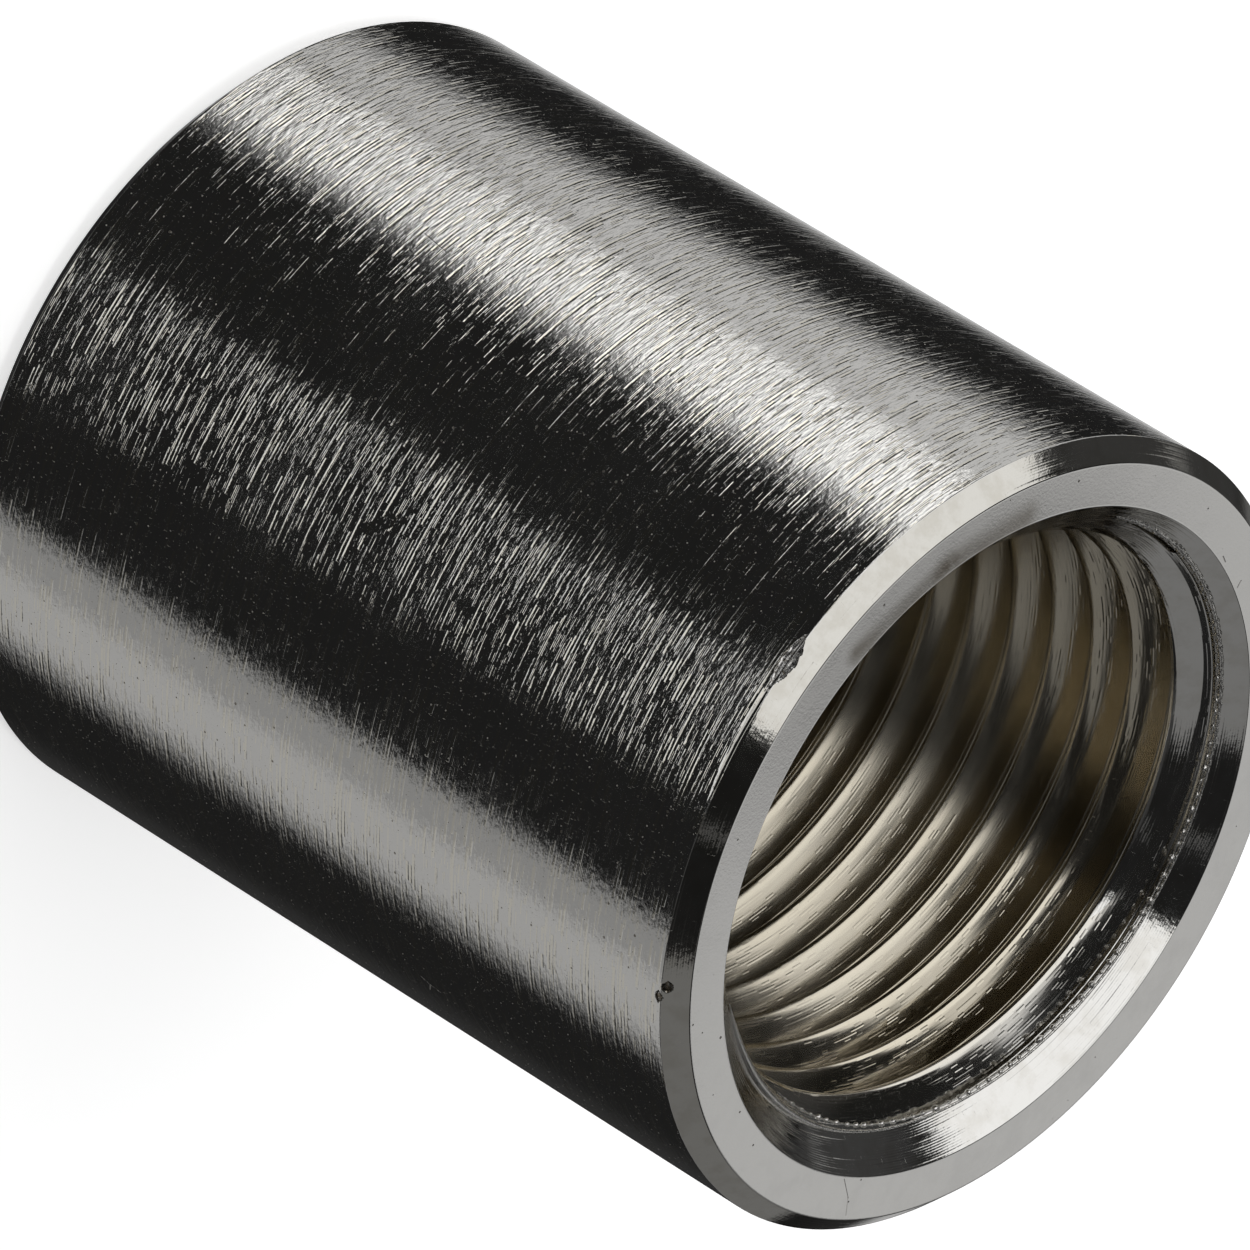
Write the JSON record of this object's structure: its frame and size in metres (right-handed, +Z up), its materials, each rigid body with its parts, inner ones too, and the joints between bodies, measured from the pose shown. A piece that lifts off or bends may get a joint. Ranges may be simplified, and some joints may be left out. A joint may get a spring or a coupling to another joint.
{
  "type": "pipe socket",
  "caption": "Round plated brass pipe socket with a parallel pipe thread right through, chamfered ends and countersunk mouths, for joining pipes end to end.",
  "frame": {"origin": "centre of the lower end face, on the axis of the bore", "axes": "+Z up along the bore; the socket stands on its lower end, and X and Y are square to the bore"},
  "size_m": [0.021, 0.021, 0.025],
  "materials": {
    "nickel_plate": "bright nickel plating over turned brass, with fine scratches around the outside"
  },
  "bodies": {
    "root": {"socket_body": "nickel_plate"}
  },
  "joints": []
}
